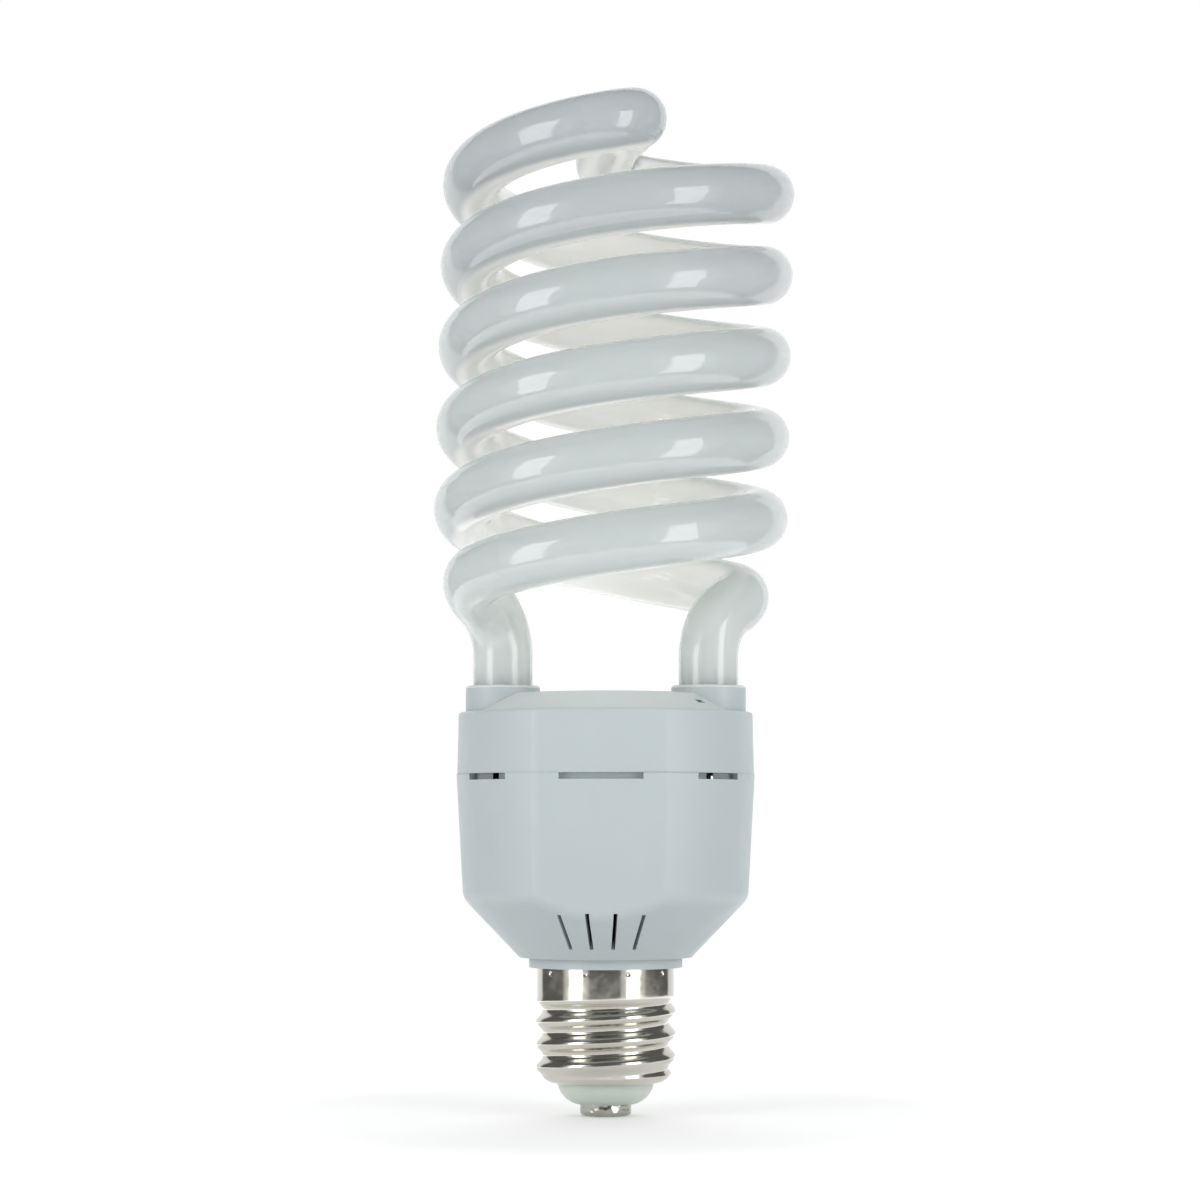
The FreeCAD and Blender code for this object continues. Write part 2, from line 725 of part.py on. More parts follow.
def make_cover():
    """Upper cover: drafted ring with flats, low dome, two leg sockets and a lip that clamps the board."""
    outside = turned("cover_outside", [
        ("0", SEAM),
        (COVER_FOOT_RADIUS, SEAM),
        (COVER_RIM_RADIUS, RIM),
        (DOME_FOOT_RADIUS, RIM),
        (half("dome_top_dia"), DOME_TOP),
        ("0", DOME_TOP),
    ])
    inside = turned("cover_inside", [
        ("0", SEAM),
        (f"{COVER_FOOT_RADIUS} - sizes.wall", SEAM),
        (f"{COVER_RIM_RADIUS} - sizes.wall", f"{RIM} - sizes.wall"),
        (DOME_FOOT_RADIUS, f"{RIM} - sizes.wall"),
        (half("dome_top_dia"), f"{DOME_TOP} - sizes.wall"),
        ("0", f"{DOME_TOP} - sizes.wall"),
    ])
    at_top = wedge_half(COVER_FLATS, "cover_draft", f"{DOME_TOP} - {SEAM}")
    in_seam = f"({COVER_FLATS} - sizes.wall)"
    in_top = f"({at_top} - sizes.wall)"
    sharp = between_flats("cover_sharp", outside, COVER_FLATS, at_top, SEAM, DOME_TOP)
    upright = rounded("cover_upright", sharp, flat_sides(sharp.Shape), "sizes.edge_round")
    form = rounded("cover_form", upright, rim_edges(upright.Shape), "sizes.cover_edge")
    hollow = between_flats("cover_hollow", inside, in_seam, in_top, SEAM, DOME_TOP)
    walls = cut("cover_walls", form, hollow)

    step_top = f"({SEAM} + sizes.wall)"
    step_radius = f"({COVER_FOOT_RADIUS} - sizes.wall / 2)"
    step_flats = f"({COVER_FLATS} - sizes.wall / 2)"
    lip = flatted_disc("lip", LIP_OUT, LIP_FLATS, BOARD_TOP, SEAM)
    step = flatted_disc("lip_step", step_radius, step_flats, SEAM, step_top)
    core = flatted_disc("lip_core", f"({LIP_OUT} - sizes.lip_wall)", f"({LIP_FLATS} - sizes.lip_wall)",
                        BOARD_TOP, step_top)
    gaps = side_notches("lip_gap", f"({SEAM} - {BOARD_TOP})")
    broken = cut("lip_broken", lip, fused("lip_gaps", gaps))
    ring = cut("lip_ring", fused("lip_blank", [broken, step]), core)

    sockets = [make_socket("socket_right", 1), make_socket("socket_left", -1)]
    solid = fused("cover_solid", [walls, ring] + sockets)
    bores = []
    for index, side in enumerate((1, -1)):
        bore = cylinder(f"socket_bore_{index}", SOCKET_BORE, f"{SOCKET_TOP} - {SOCKET_FOOT}")
        bores.append(place(bore, x=f"{side} * sizes.socket_spacing / 2", z=SOCKET_FOOT))
    slope = f"({DOME_FOOT_RADIUS} - sizes.dome_top_dia / 2) / sizes.dome_height"
    slot = radial_block(
        "dome_slot", FRONT + number("sizes.dome_slot_angle"),
        f"{DOME_FOOT_RADIUS} - sizes.dome_slot_rise * {slope}", THROUGH_WALL, "sizes.dome_slot_length",
        "sizes.dome_slot_height", f"{RIM} + sizes.dome_slot_rise")
    return node(cut("cover", solid, *bores, slot), "top_cover")


def arc_run(start, heading, end):
    """The circular arc that leaves a point along a heading and reaches a second point."""
    chord = end - start
    aside = chord - heading * chord.dot(heading)
    if aside.Length < 1e-6:
        return Part.makeLine(start, end)
    aside.normalize()
    radius = chord.dot(chord) / (2 * chord.dot(aside))
    centre = start + aside * radius
    outward = (start - centre) + (end - centre)
    outward.normalize()
    side = 1 if chord.dot(heading) > 0 else -1
    return Part.Arc(start, centre + outward * (radius * side), end).toShape()


def joined_arcs(start, heading, end, end_heading):
    """Two arcs, tangent to each other, from one point and heading to another."""
    gap = end - start
    turn = 2 * (1 - heading.dot(end_heading))
    along = gap.dot(heading + end_heading)
    reach = (math.sqrt(along ** 2 + turn * gap.dot(gap)) - along) / turn
    middle = ((start + heading * reach) + (end - end_heading * reach)) * 0.5
    last = arc_run(end, end_heading * -1, middle)
    return [arc_run(start, heading, middle), last]


def strand_edges(side):
    """One half of the tube's centre line, from a leg's end up the helix to the middle of the crossing."""
    radius = number("sizes.spiral_radius")
    pitch = number("sizes.spiral_pitch")
    base = number(SEAM) + number("sizes.spiral_base")
    pivot = number(SOCKET_TOP)
    first = number("sizes.leg_join_angle")
    last = number("sizes.spiral_end_angle")
    lean = Placement(Vector(number("sizes.spiral_offset"), 0, pivot),
                     Rotation(Vector(0, 1, 0), number("sizes.spiral_lean")))
    about_axis = Rotation(Vector(0, 0, 1), 0 if side > 0 else 180)

    def spiral_point(point, heading):
        """A station of the upright spiral, turned to this strand and leaned with the spiral."""
        heading.normalize()
        return lean.multVec(about_axis.multVec(point)), lean.Rotation.multVec(about_axis.multVec(heading))

    leg_x = side * number(half("socket_spacing"))
    leg_top = Vector(leg_x, 0, pivot + number("sizes.leg_rise"))
    stations = [(leg_top, Vector(0, 0, 1))]
    steps = math.ceil((last - first) / HELIX_STEP)
    for step in range(steps + 1):
        degrees = first + (last - first) * step / steps
        angle = math.radians(degrees)
        height = base - pivot + pitch * degrees / 360
        point = Vector(radius * math.cos(angle), radius * math.sin(angle), height)
        heading = Vector(-radius * math.sin(angle), radius * math.cos(angle), pitch / (2 * math.pi))
        stations.append(spiral_point(point, heading))
    across = math.radians(number("sizes.crossing_heading"))
    top = base - pivot + pitch * last / 360 + number("sizes.crossing_rise")
    stations.append(spiral_point(Vector(0, 0, top), Vector(math.cos(across), math.sin(across), 0)))

    edges = [Part.makeLine(Vector(leg_x, 0, number(SOCKET_FOOT)), leg_top)]
    for (start, heading), (end, end_heading) in zip(stations, stations[1:]):
        edges += joined_arcs(start, heading, end, end_heading)
    return edges


def swept(name, edges, radius, start, heading):
    """A round bar along a chain of edges."""
    path = doc.addObject("Part::Feature", name + "_path")
    path.Shape = Part.Wire(Part.__sortEdges__(edges))
    ring = bind(doc.addObject("Part::Circle", name + "_section"), Radius=radius)
    ring.Placement = Placement(start, Rotation(Vector(0, 0, 1), heading))
    bar = doc.addObject("Part::Sweep", name)
    bar.Sections = [ring]
    bar.Spine = (path, [])
    bar.Solid = True
    bar.Frenet = False
    doc.recompute()
    return bar


def make_tube():
    """Sealed glass: two legs, two strands of a right-hand helix and the crossing at the top."""
    edges = strand_edges(1) + strand_edges(-1)
    start = Vector(number(half("socket_spacing")), 0, number(SOCKET_FOOT))
    return node(swept("tube", edges, half("tube_dia"), start, Vector(0, 0, 1)), "glass_tube")


def make_cement():
    """A ring of cement in the gap round each leg, at the foot of its socket."""
    for index, side in enumerate((1, -1), start=1):
        outer = cylinder(f"cement_out_{index}", SOCKET_BORE, "sizes.cement_height")
        inner = cylinder(f"cement_in_{index}", half("tube_dia"), "sizes.cement_height")
        for piece in (outer, inner):
            place(piece, x=f"{side} * sizes.socket_spacing / 2", z=SOCKET_FOOT)
        node(cut(f"cement_{index}", outer, inner), f"leg_cement_{index}")


def make_board():
    """The ballast's board, on the housing's ribs and under the cover's lip."""
    inset = f"({BOARD_INSET} + sizes.board_clearance)"
    radius = f"(sizes.seam_dia / 2 - {inset})"
    half_flats = f"({HALF_FLATS} - {inset})"
    node(flatted_disc("board", radius, half_flats, BOARD_FOOT, BOARD_TOP), "circuit_board")


def make_leads():
    """Wrap pins on the board and the electrode leads that come down to them from the legs."""
    index = 0
    for side in (1, -1):
        for row in (1, -1):
            index += 1
            x = f"{side} * sizes.socket_spacing / 2"
            y = f"{row} * sizes.tube_lead_spread / 2"
            pin = box(f"pin_{index}", "sizes.pin_side", "sizes.pin_side", "sizes.pin_height")
            place(pin, x=f"{x} - sizes.pin_side / 2", y=f"{y} - sizes.pin_side / 2", z=BOARD_TOP)
            node(pin, f"lead_pin_{index}")
            pin_top = f"({BOARD_TOP} + sizes.pin_height)"
            lead = cylinder(f"lead_{index}", half("tube_lead_dia"), f"{SOCKET_FOOT} - {pin_top}")
            node(place(lead, x=x, y=y, z=pin_top), f"tube_lead_{index}")


def hung(piece, x, y, drop="0"):
    """Places a component under the board at a spot of the layout."""
    return place(piece, x=f"sizes.{x}", y=f"sizes.{y}", z=f"{BOARD_FOOT} - ({drop})")


def block_under(name, length, width, height, x, y, drop="0"):
    """A block centred on a spot of the layout whose top lies at a drop below the board."""
    block = box(name, length, width, height)
    return place(block, x=f"sizes.{x} - ({length}) / 2", y=f"sizes.{y} - ({width}) / 2",
                 z=f"{BOARD_FOOT} - ({drop}) - ({height})")


def make_bus_capacitor():
    """Electrolytic can that hangs from the board, with its crimp groove."""
    groove = "sizes.bus_capacitor_groove"
    rim = half("bus_capacitor_dia")
    waist = f"(sizes.bus_capacitor_dia / 2 - {groove})"
    outline = [
        ("0", "-sizes.bus_capacitor_length"),
        (rim, "-sizes.bus_capacitor_length"),
        (rim, f"-sizes.bus_capacitor_crimp - {groove}"),
        (waist, "-sizes.bus_capacitor_crimp"),
        (rim, f"-sizes.bus_capacitor_crimp + {groove}"),
        (rim, "0"),
        ("0", "0"),
    ]
    node(hung(turned("can", outline), "can_x", "can_y"), "bus_capacitor")


def make_choke():
    """Lamp choke: a square-window ferrite core, a flanged bobbin on its middle leg and the winding."""
    x, y = "choke_x", "choke_y"
    leg = "sizes.choke_leg"
    middle = "(2 * sizes.choke_leg)"
    foot = "sizes.bobbin_foot"
    window = f"(sizes.choke_height - 2 * {leg})"
    side = f"((sizes.choke_width - 2 * {leg} - {middle}) / 2)"
    gap = "sizes.choke_clearance"
    tube = f"({middle} + 2 * sizes.bobbin_wall + 2 * {gap})"
    deep_tube = f"(sizes.choke_depth + 2 * sizes.bobbin_wall + 2 * {gap})"
    flange = f"({middle} + 2 * ({side} - {gap}))"
    deep_flange = f"({deep_tube} + 2 * sizes.bobbin_reach)"
    inner_height = f"({window} - 2 * {gap})"

    blank = block_under("choke_blank", "sizes.choke_width", "sizes.choke_depth", "sizes.choke_height",
                        x, y, foot)
    windows = []
    for turn in (1, -1):
        opening = box(f"choke_window_{len(windows)}", side, "sizes.choke_depth * 2", window)
        place(opening, x=f"sizes.{x} + {turn} * ({middle} + {side}) / 2 - {side} / 2",
              y=f"sizes.{y} - sizes.choke_depth", z=f"{BOARD_FOOT} - {foot} - {leg} - {window}")
        windows.append(opening)
    node(cut("choke", blank, *windows), "choke_core")

    drop = f"{foot} + {leg} + {gap}"
    spool = block_under("spool_tube", tube, deep_tube, inner_height, x, y, drop)
    flanges = [
        block_under("spool_top", flange, deep_flange, "sizes.bobbin_wall", x, y, drop),
        block_under("spool_foot", flange, deep_flange, "sizes.bobbin_wall", x, y,
                    f"{drop} + {inner_height} - sizes.bobbin_wall"),
    ]
    stands = []
    for turn in (1, -1):
        stand = box(f"spool_stand_{len(stands)}", flange, "sizes.bobbin_stand", drop)
        middle_y = f"sizes.{y} + {turn} * ({deep_flange} - sizes.bobbin_stand) / 2"
        place(stand, x=f"sizes.{x} - {flange} / 2", y=f"{middle_y} - sizes.bobbin_stand / 2",
              z=f"{BOARD_FOOT} - ({drop})")
        stands.append(stand)
    bore = block_under("spool_bore", f"({middle} + 2 * {gap})", f"(sizes.choke_depth + 2 * {gap})",
                       f"({drop} + {inner_height})", x, y)
    solid = fused("spool_solid", [spool] + flanges + stands)
    node(cut("spool", solid, bore), "choke_bobbin")

    coil_height = f"({inner_height} - 2 * sizes.bobbin_wall)"
    coil_wide = f"({tube} + 2 * sizes.coil_build)"
    coil_deep = f"({deep_tube} + 2 * sizes.coil_build)"
    coil_drop = f"{drop} + sizes.bobbin_wall"
    coil = block_under("coil_out", coil_wide, coil_deep, coil_height, x, y, coil_drop)
    hole = block_under("coil_in", tube, deep_tube, coil_height, x, y, coil_drop)
    node(cut("coil", coil, hole), "choke_winding")


def make_drive_transformer():
    """Small ferrite ring that lies under the board, with its turns of wire as separate loops."""
    lay = "(sizes.toroid_section_dia / 2 + sizes.toroid_gap + sizes.toroid_wire_dia)"
    ring = bind(doc.addObject("Part::Torus", "drive_ring"), Radius1=half("toroid_ring_dia"),
                Radius2=half("toroid_section_dia"))
    node(hung(ring, "toroid_x", "toroid_y", lay), "drive_toroid")
    turns = []
    count = int(number("sizes.toroid_turns"))
    centre = Vector(number("sizes.toroid_x"), number("sizes.toroid_y"), number(f"{BOARD_FOOT} - {lay}"))
    for index in range(count):
        loop = bind(doc.addObject("Part::Torus", f"drive_turn_{index}"), Radius2=half("toroid_wire_dia"))
        bind(loop, Radius1="sizes.toroid_section_dia / 2 + sizes.toroid_gap + sizes.toroid_wire_dia / 2")
        about = Rotation(Vector(0, 0, 1), 360 * index / count)
        reach = about.multVec(Vector(number(half("toroid_ring_dia")), 0, 0))
        loop.Placement = Placement(centre + reach, about * Rotation(Vector(1, 0, 0), 90))
        turns.append(loop)
    node(fused("drive_turns", turns), "drive_winding")


def make_transistor(index):
    """Three-legged power transistor that hangs tab down from the board."""
    x = f"transistor_{index}_x"
    y = f"transistor_{index}_y"
    legs = "sizes.transistor_leg_height"
    body = block_under(f"transistor_{index}_body", "sizes.transistor_width", "sizes.transistor_thickness",
                       "sizes.transistor_body_height", x, y, legs)
    parts = [body]
    for spot in (-1, 0, 1):
        leg = box(f"transistor_{index}_leg_{len(parts)}", "sizes.transistor_leg_width",
                  "sizes.transistor_leg_width", legs)
        shift = f"{spot} * sizes.transistor_leg_pitch - sizes.transistor_leg_width / 2"
        parts.append(place(leg, x=f"sizes.{x} + {shift}", y=f"sizes.{y} - sizes.transistor_leg_width / 2",
                           z=f"{BOARD_FOOT} - {legs}"))
    tab = box(f"transistor_{index}_tab", "sizes.transistor_width", "sizes.transistor_tab_thickness",
              "sizes.transistor_tab_height + sizes.transistor_body_height")
    tab_foot = f"{BOARD_FOOT} - {legs} - sizes.transistor_body_height - sizes.transistor_tab_height"
    place(tab, x=f"sizes.{x} - sizes.transistor_width / 2", y=f"sizes.{y} - sizes.transistor_thickness / 2",
          z=tab_foot)
    hole = cylinder(f"transistor_{index}_hole", half("transistor_tab_hole"),
                    "sizes.transistor_thickness * 2")
    hole.Placement = Placement(Vector(), Rotation(Vector(1, 0, 0), 90))
    place(hole, x=f"sizes.{x}", y=f"sizes.{y} + sizes.transistor_thickness",
          z=f"{tab_foot} + sizes.transistor_tab_height / 2")
    solid = fused(f"transistor_{index}_solid", parts + [tab])
    node(cut(f"transistor_{index}", solid, hole), f"transistor_{index}")


def make_film_capacitor(label, size, x, y):
    """Moulded film capacitor with rounded upright edges."""
    block = block_under(label + "_block", f"sizes.{size}_length", f"sizes.{size}_width",
                        f"sizes.{size}_height", x, y)
    doc.recompute()
    upright = []
    for index, edge in enumerate(block.Shape.Edges, start=1):
        if edge.BoundBox.ZLength > number(f"sizes.{size}_height") / 2:
            upright.append(index)
    node(rounded(label + "_rounded", block, upright, "sizes.film_edge"), label)


def make_axial(label, size, x, y, row="0"):
    """A round body on a stiff lead that is bent up to the board at both ends."""
    centre_y = f"sizes.{y} + {row}"
    level = f"{BOARD_FOOT} - sizes.axial_standoff"
    body = cylinder(label + "_body", half(f"{size}_dia"), f"sizes.{size}_length")
    lead = cylinder(label + "_lead", half("axial_lead_dia"), "sizes.axial_lead_span")
    for piece, length in ((body, f"sizes.{size}_length"), (lead, "sizes.axial_lead_span")):
        piece.Placement = Placement(Vector(), Rotation(Vector(0, 1, 0), 90))
        place(piece, x=f"sizes.{x} - {length} / 2", y=centre_y, z=level)
    posts = []
    for end in (1, -1):
        post = cylinder(f"{label}_post_{len(posts)}", half("axial_lead_dia"),
                        "sizes.axial_standoff + sizes.axial_lead_dia / 2")
        reach = "(sizes.axial_lead_span / 2 - sizes.axial_lead_dia / 2)"
        posts.append(place(post, x=f"sizes.{x} + {end} * {reach}", y=centre_y,
                           z=f"{level} - sizes.axial_lead_dia / 2"))
    node(fused(label + "_solid", [body, lead] + posts), label)


def make_drum():
    """Filter choke: a ferrite drum with its winding sunk between two flanges."""
    rim = half("drum_dia")
    waist = half("drum_waist_dia")
    flange = "sizes.drum_flange"
    outline = [
        ("0", "-sizes.drum_height"),
        (rim, "-sizes.drum_height"),
        (rim, f"-sizes.drum_height + {flange}"),
        (waist, f"-sizes.drum_height + {flange}"),
        (waist, f"-{flange}"),
        (rim, f"-{flange}"),
        (rim, "0"),
        ("0", "0"),
    ]
    node(hung(turned("drum", outline), "drum_x", "drum_y"), "filter_choke")


def rounded_route(points, bend):
    """Straight runs between points, joined by arcs of one bend radius."""
    edges = []
    start = points[0]
    for before, corner, after in zip(points, points[1:], points[2:]):
        arriving = (corner - before).normalize()
        leaving = (after - corner).normalize()
        turn = arriving.getAngle(leaving)
        trim = bend * math.tan(turn / 2)
        first = corner - arriving * trim
        last = corner + leaving * trim
        edges += [Part.makeLine(start, first), arc_run(first, arriving, last)]
        start = last
    edges.append(Part.makeLine(start, points[-1]))
    return edges


def make_wires():
    """The live lead runs straight down to the contact, the neutral lead down the neck to the shell."""
    stem_top = f"({CAP_FOOT} + sizes.stem_length)"
    live = cylinder("live", half("live_wire_dia"), f"{BOARD_FOOT} - {stem_top}")
    node(place(live, z=stem_top), "live_wire")

    wall_x = -number(f"{THREAD_BORE} - sizes.neutral_wire_dia / 2")
    neck_x = -number(f"{NECK_BORE} - sizes.neutral_wire_dia")
    neck_foot = number(NECK_FOOT)
    board_x = -number("sizes.neutral_reach")
    bend = number("sizes.neutral_bend")
    points = [
        Vector(board_x, 0, number(BOARD_FOOT)),
        Vector(board_x, 0, number(CONE_FOOT) + 2 * bend),
        Vector(neck_x, 0, number(SHELL_TOP)),
        Vector(neck_x, 0, neck_foot),
        Vector(wall_x, 0, neck_foot - bend),
        Vector(wall_x, 0, neck_foot - bend - number("sizes.neutral_contact_length")),
    ]
    route = rounded_route(points, bend)
    wire = swept("neutral", route, half("neutral_wire_dia"), points[0], Vector(0, 0, -1))
    node(wire, "neutral_wire")


make_contact()
make_insulator()
make_shell()
make_housing()
make_cover()
make_tube()
make_cement()
make_board()
make_leads()
make_bus_capacitor()
make_choke()
make_drive_transformer()
make_transistor(1)
make_transistor(2)
make_film_capacitor("mains_capacitor", "film", "mains_film_x", "mains_film_y")
make_film_capacitor("resonant_capacitor", "small_film", "resonant_film_x", "resonant_film_y")
make_film_capacitor("coupling_capacitor", "small_film", "coupling_film_x", "coupling_film_y")
for diode in range(BRIDGE):
    make_axial(f"diode_{diode + 1}", "diode", "diode_x", "diode_y", f"{diode} * sizes.diode_pitch")
make_axial("fuse_link", "fuse", "fuse_x", "fuse_y")
make_drum()
make_wires()
doc.recompute()

for piece in doc.Objects:
    if "Invalid" in piece.State or "Error" in piece.State:
        raise RuntimeError(f"{piece.Name} did not build: {piece.State}")
os.makedirs("parts", exist_ok=True)
for piece in PIECES:
    if piece.Shape.isNull() or not piece.Shape.isValid():
        raise RuntimeError(f"{piece.Label} has no valid shape")
    piece.Shape.exportStep(f"parts/{piece.Label}.step")
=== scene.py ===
"""Looks of the spiral energy saving lamp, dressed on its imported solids.

Lengths are in metres. The lamp stands on its contact at the origin and its front faces -Y.
"""

import json
import math

import bpy
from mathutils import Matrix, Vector


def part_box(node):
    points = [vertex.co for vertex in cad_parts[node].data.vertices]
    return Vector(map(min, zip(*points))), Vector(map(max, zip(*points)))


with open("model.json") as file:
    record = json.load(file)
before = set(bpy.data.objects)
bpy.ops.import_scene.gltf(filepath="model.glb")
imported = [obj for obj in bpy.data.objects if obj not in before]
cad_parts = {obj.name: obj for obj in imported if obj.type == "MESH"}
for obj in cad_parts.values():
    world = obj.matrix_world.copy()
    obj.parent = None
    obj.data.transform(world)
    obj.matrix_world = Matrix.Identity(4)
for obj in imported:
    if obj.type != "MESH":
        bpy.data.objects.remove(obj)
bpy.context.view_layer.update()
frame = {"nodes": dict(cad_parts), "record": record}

# Camera: a long lens a little to the right of the front, low down and tipped up
CAMERA_TURN = math.radians(2.0)
CAMERA_DISTANCE = 0.9216
CAMERA_ASIDE = -0.0016
CAMERA_HEIGHT = 0.0812
CAMERA_PITCH = math.radians(4.006)
LENS_MM = 97.09
SENSOR_MM = 36.0

# Lights: a softbox at each side with a wide dim panel behind it, and a large panel at the back
SOFTBOX_TURN = math.radians(49.5)
SOFTBOX = {"distance": 1.1, "middle": 0.23, "size": (0.44, 1.10), "radiance": 3.3}
SPILL = {"distance": 1.2, "middle": 0.30, "size": (1.0, 1.2), "radiance": 0.55}
BACKLIGHT = {"distance": 1.7, "middle": 0.60, "size": (2.6, 2.2), "radiance": 2.4}

# Room: white behind the lamp, dim where metal and glass mirror the rest of it, and a soft fill
WHITE = 1.0
WHITE_COLOUR = (1.0, 1.0, 1.0, 1.0)
ROOM_FILL = 0.56
ROOM_MIRRORED = 0.14
BEHIND_FROM, BEHIND_TO = 0.66, 0.70

# Floor: a pale disc that goes white further out
FLOOR_RADIUS = 0.32
FLOOR_CORNERS = 96
FLOOR_LEVEL = -0.0001
FLOOR_DARKER = (0.79, 0.79, 0.79)
FLOOR_LIGHTER = (0.82, 0.82, 0.82)
FLOOR_GRAIN = 0.2
FLOOR_ROUGHNESS = 0.9
FLOOR_GLOW = 0.22
FLOOR_WHITE_FROM, FLOOR_WHITE_TO = 0.08, 0.26

# Noise: the range that it mostly stays in, and how many finer layers it has
NOISE_LOW, NOISE_HIGH = 0.3, 0.7
NOISE_DETAIL = 2.0
SMOOTH_DETAIL = 1.0

# Glass, and the coat inside it: greyer up the coil from painted shade, and whiter on the coil's inner
# side and underside from painted light
GLASS_IOR = 1.56
GLASS_ROUGHNESS = (0.03, 0.07)
GLASS_ROUGHNESS_GRAIN = 0.012
GLASS_WAVE_GRAIN = 0.02
GLASS_WAVE_DEPTH = 0.00003
COAT_DARKER = (0.455, 0.495, 0.505)
COAT_LIGHTER = (0.48, 0.52, 0.525)
COAT_GRAIN = 0.03
# Painted shade: the coat turns greyer towards the top of the coil
COAT_PAINTED_SHADE_AT_TOP = (0.38, 0.405, 0.43)
# Painted light: a whiter coat on the coil's inner side and underside stands in for light shining through
# the tubes
COAT_PAINTED_LIGHT_INNER = (0.875, 0.88, 0.845)
COAT_ON_LEGS = (0.485, 0.525, 0.525)
COAT_SCATTER = 0.036
COAT_SCATTER_OF_COLOURS = (1.0, 0.96, 0.88)
LEG_TOP_FROM, LEG_TOP_TO = 0.138, 0.157
COIL_TOP_FROM, COIL_TOP_TO = 0.20, 0.30
COIL_RADIUS = 0.043
# Where the painted light of the inner coat begins and ends, and how far it reaches round on to the
# underside
OUTER_SIDE, INNER_SIDE = -0.07, -0.52
UNDERSIDE_SHARE = 0.66
UPPER_SIDE_LIMIT = 0.35

# Housing plastic, paler on the cover's dome from painted light and darker here and there along the seam
# from painted shade
PLASTIC_DARKER = (0.44, 0.50, 0.51)
PLASTIC_LIGHTER = (0.465, 0.525, 0.535)
PLASTIC_GRAIN = 0.025
PLASTIC_ROUGHNESS = (0.42, 0.52)
PLASTIC_ROUGHNESS_GRAIN = 0.006
PLASTIC_MATT_GRAIN = 0.0004
PLASTIC_MATT_DEPTH = 0.00004
PLASTIC_MATT_STRENGTH = 0.5
# Painted light: a paler colour on the cover's sloping dome
PLASTIC_PAINTED_LIGHT_ON_DOME = (0.64, 0.68, 0.68)
DOME_FROM, DOME_TO = 0.1125, 0.1145
WALL_FACING, DOME_FACING = 0.05, 0.25
# Painted shade: a darker colour in a thin line along the seam between the housing halves
PLASTIC_PAINTED_SHADE_IN_SEAM = (0.34, 0.40, 0.41)
SEAM_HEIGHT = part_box("lower_housing")[1].z
SEAM_WIDTH = 0.0004
SEAM_SHOWING = (0.1, 0.9)
SEAM_GRAIN = 0.03

# Plated screw shell
NICKEL_DARKER = (0.55, 0.535, 0.48)
NICKEL_LIGHTER = (0.62, 0.60, 0.545)
NICKEL_GRAIN = 0.008
NICKEL_ROUGHNESS = (0.12, 0.19)
NICKEL_ROUGHNESS_GRAIN = 0.004
NICKEL_WAVE_GRAIN = 0.006
NICKEL_WAVE_DEPTH = 0.00006

# Insulator round the contact
INSULATOR_DARKER = (0.56, 0.635, 0.57)
INSULATOR_LIGHTER = (0.61, 0.685, 0.62)
INSULATOR_GRAIN = 0.006
INSULATOR_ROUGHNESS = (0.28, 0.4)
INSULATOR_ROUGHNESS_GRAIN = 0.004

# Contact
CONTACT_DARKER = (0.30, 0.30, 0.27)
CONTACT_LIGHTER = (0.54, 0.54, 0.49)
CONTACT_GRAIN = 0.003
CONTACT_ROUGHNESS = (0.12, 0.24)
CONTACT_ROUGHNESS_GRAIN = 0.001
CONTACT_DENT_GRAIN = 0.0025
CONTACT_DENT_DEPTH = 0.0005

# Darker and lighter colour, grain, roughness and, where it is metal, metallic of each inner finish
INNER_FINISHES = {
    "cement": ((0.62, 0.60, 0.55), (0.72, 0.70, 0.65), 0.002, 0.8),
    "board_laminate": ((0.42, 0.33, 0.16), (0.50, 0.40, 0.21), 0.004, 0.55),
    "capacitor_sleeve": ((0.03, 0.03, 0.04), (0.05, 0.05, 0.07), 0.005, 0.35),
    "ferrite": ((0.06, 0.06, 0.06), (0.10, 0.10, 0.10), 0.001, 0.6),
    "bobbin_plastic": ((0.10, 0.10, 0.11), (0.14, 0.14, 0.15), 0.003, 0.45),
    "copper_wire": ((0.62, 0.28, 0.13), (0.72, 0.36, 0.18), 0.0006, 0.3, 1.0),
    "moulding_compound": ((0.03, 0.03, 0.03), (0.05, 0.05, 0.05), 0.001, 0.55),
    "film_case": ((0.42, 0.10, 0.05), (0.52, 0.14, 0.07), 0.004, 0.4),
    "fuse_coat": ((0.20, 0.32, 0.20), (0.26, 0.40, 0.26), 0.002, 0.45),
    "tinned_wire": ((0.66, 0.66, 0.66), (0.76, 0.76, 0.76), 0.001, 0.3, 1.0),
    "live_sleeve": ((0.30, 0.12, 0.05), (0.36, 0.16, 0.07), 0.003, 0.45),
    "neutral_sleeve": ((0.06, 0.12, 0.36), (0.09, 0.16, 0.44), 0.003, 0.45),
}
INNER_UNEVENNESS = 0.05

# Sockets of a Mix node that carry colours
MIX_FIRST, MIX_SECOND, MIX_RESULT = 6, 7, 2

ORIGIN = (0.0, 0.0, 0.0)
UP = (0.0, 0.0, 1.0)


def combine(tree, operation, first, second):
    """Two outputs put together by a Math node."""
    node = tree.nodes.new("ShaderNodeMath")
    node.operation = operation
    tree.links.new(first, node.inputs[0])
    tree.links.new(second, node.inputs[1])
    return node.outputs["Value"]


